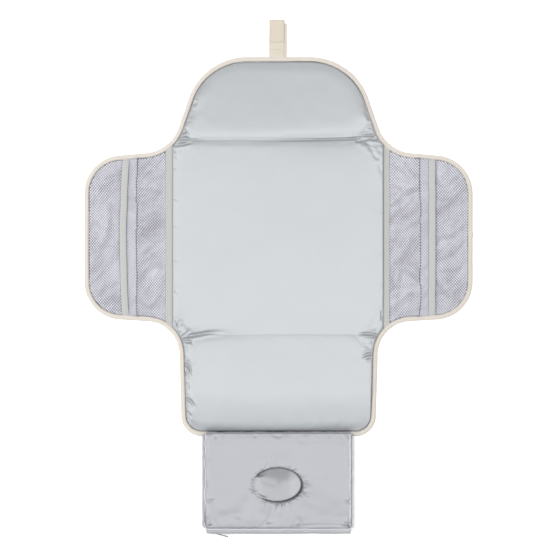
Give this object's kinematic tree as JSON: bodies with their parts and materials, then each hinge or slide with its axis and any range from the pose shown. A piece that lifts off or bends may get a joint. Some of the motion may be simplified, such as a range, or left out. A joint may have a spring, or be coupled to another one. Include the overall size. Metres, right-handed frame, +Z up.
{
  "type": "fold-up changing pad",
  "caption": "Padded fold-up baby changing pad, open flat, with mesh-pocket wings, a closing strap and a zipped head pillow on its lower edge.",
  "frame": {"origin": "centre of the centre panel, on the underside of its outer shell", "axes": "+Z up out of the lining, +Y towards the top flap and its strap, +X to the right seen from above"},
  "size_m": [0.603, 0.8027, 0.02],
  "materials": {
    "shell_cloth": "plain woven polyester, matte",
    "edge_binding": "folded knit tape, matte oatmeal",
    "foam": "open-cell cushion foam",
    "satin_lining": "wipe-clean coated satin, silver grey",
    "wing_lining": "smooth coated lining, pale grey",
    "pocket_mesh": "warp-knit polyester mesh",
    "grey_tape": "ribbed fold-over tape",
    "strap_webbing": "woven webbing",
    "hook_tape": "hook fastening tape",
    "loop_tape": "brushed loop fastening tape",
    "zip_tape": "woven zip tape",
    "zip_teeth": "moulded plastic",
    "zip_metal": "die-cast zinc alloy, satin"
  },
  "bodies": {
    "centre": {"binding_centre": "edge_binding", "foam_centre": "foam", "lining_centre": "satin_lining", "outer_shell_centre": "shell_cloth", "pad_seam_tape_left_wing": "grey_tape", "pad_seam_tape_right_wing": "grey_tape"},
    "top_flap": {"binding_top_flap": "edge_binding", "foam_top_flap": "foam", "lining_top_flap": "satin_lining", "outer_shell_top_flap": "shell_cloth"},
    "lower_panel": {"binding_lower_panel": "edge_binding", "foam_lower_panel": "foam", "lining_lower_panel": "satin_lining", "loop_patch": "loop_tape", "outer_shell_lower_panel": "shell_cloth", "pillow_attaching_strip": "satin_lining"},
    "left_wing": {"binding_left_wing": "edge_binding", "lining_left_wing": "wing_lining", "mesh_inner_pocket_left_wing": "pocket_mesh", "mesh_outer_pocket_left_wing": "pocket_mesh", "outer_shell_left_wing": "shell_cloth", "pocket_hem_left_wing": "grey_tape", "pocket_mouth_tape_left_wing": "grey_tape"},
    "right_wing": {"binding_right_wing": "edge_binding", "lining_right_wing": "wing_lining", "mesh_inner_pocket_right_wing": "pocket_mesh", "mesh_outer_pocket_right_wing": "pocket_mesh", "outer_shell_right_wing": "shell_cloth", "pocket_hem_right_wing": "grey_tape", "pocket_mouth_tape_right_wing": "grey_tape"},
    "pillow": {"pillow_base_cloth": "satin_lining", "pillow_boxing": "satin_lining", "pillow_foam": "foam", "pillow_top_cloth": "satin_lining", "pillow_welt": "satin_lining", "recess_liner": "satin_lining", "zip_stops": "zip_teeth", "zip_tape_lower": "zip_tape", "zip_tape_upper": "zip_tape", "zip_teeth_lower": "zip_teeth", "zip_teeth_upper": "zip_teeth"},
    "strap_neck": {"strap_neck": "strap_webbing"},
    "strap_end": {"hook_patch": "hook_tape", "strap_end": "strap_webbing"},
    "zip_slider": {"zip_slider": "zip_metal"},
    "zip_puller": {"zip_puller": "zip_metal"}
  },
  "joints": [
    {"name": "left_wing_fold", "type": "hinge", "parent": "centre", "child": "left_wing", "pos_m": [-0.1732, 0, 0.0105], "axis": [0, 1, 0], "range_deg": [0, 180]},
    {"name": "right_wing_fold", "type": "hinge", "parent": "centre", "child": "right_wing", "pos_m": [0.1732, 0, 0.0105], "axis": [0, -1, 0], "range_deg": [0, 180]},
    {"name": "top_flap_fold", "type": "hinge", "parent": "centre", "child": "top_flap", "pos_m": [0, 0.1504, 0.0285], "axis": [1, 0, 0], "range_deg": [0, 180]},
    {"name": "lower_panel_fold", "type": "hinge", "parent": "centre", "child": "lower_panel", "pos_m": [0, -0.1512, 0.021], "axis": [-1, 0, 0], "range_deg": [0, 180]},
    {"name": "pillow_fold", "type": "hinge", "parent": "lower_panel", "child": "pillow", "pos_m": [0, -0.308, 0.0175], "axis": [1, 0, 0], "range_deg": [-180, 0]},
    {"name": "strap_fold", "type": "hinge", "parent": "top_flap", "child": "strap_neck", "pos_m": [-0.0027, 0.281, 0.0016], "axis": [1, 0, 0], "range_deg": [-90, 35]},
    {"name": "strap_end_fold", "type": "hinge", "parent": "strap_neck", "child": "strap_end", "pos_m": [-0.0027, 0.2995, 0.0016], "axis": [-1, 0, 0], "range_deg": [-90, 35]},
    {"name": "zip_slide", "type": "slide", "parent": "pillow", "child": "zip_slider", "axis": [1, 0, 0], "range_m": [0, 0.204]},
    {"name": "puller_swing", "type": "hinge", "parent": "zip_slider", "child": "zip_puller", "pos_m": [-0.102, -0.4587, 0.01], "axis": [0, 0, -1], "range_deg": [-12, 150]}
  ]
}
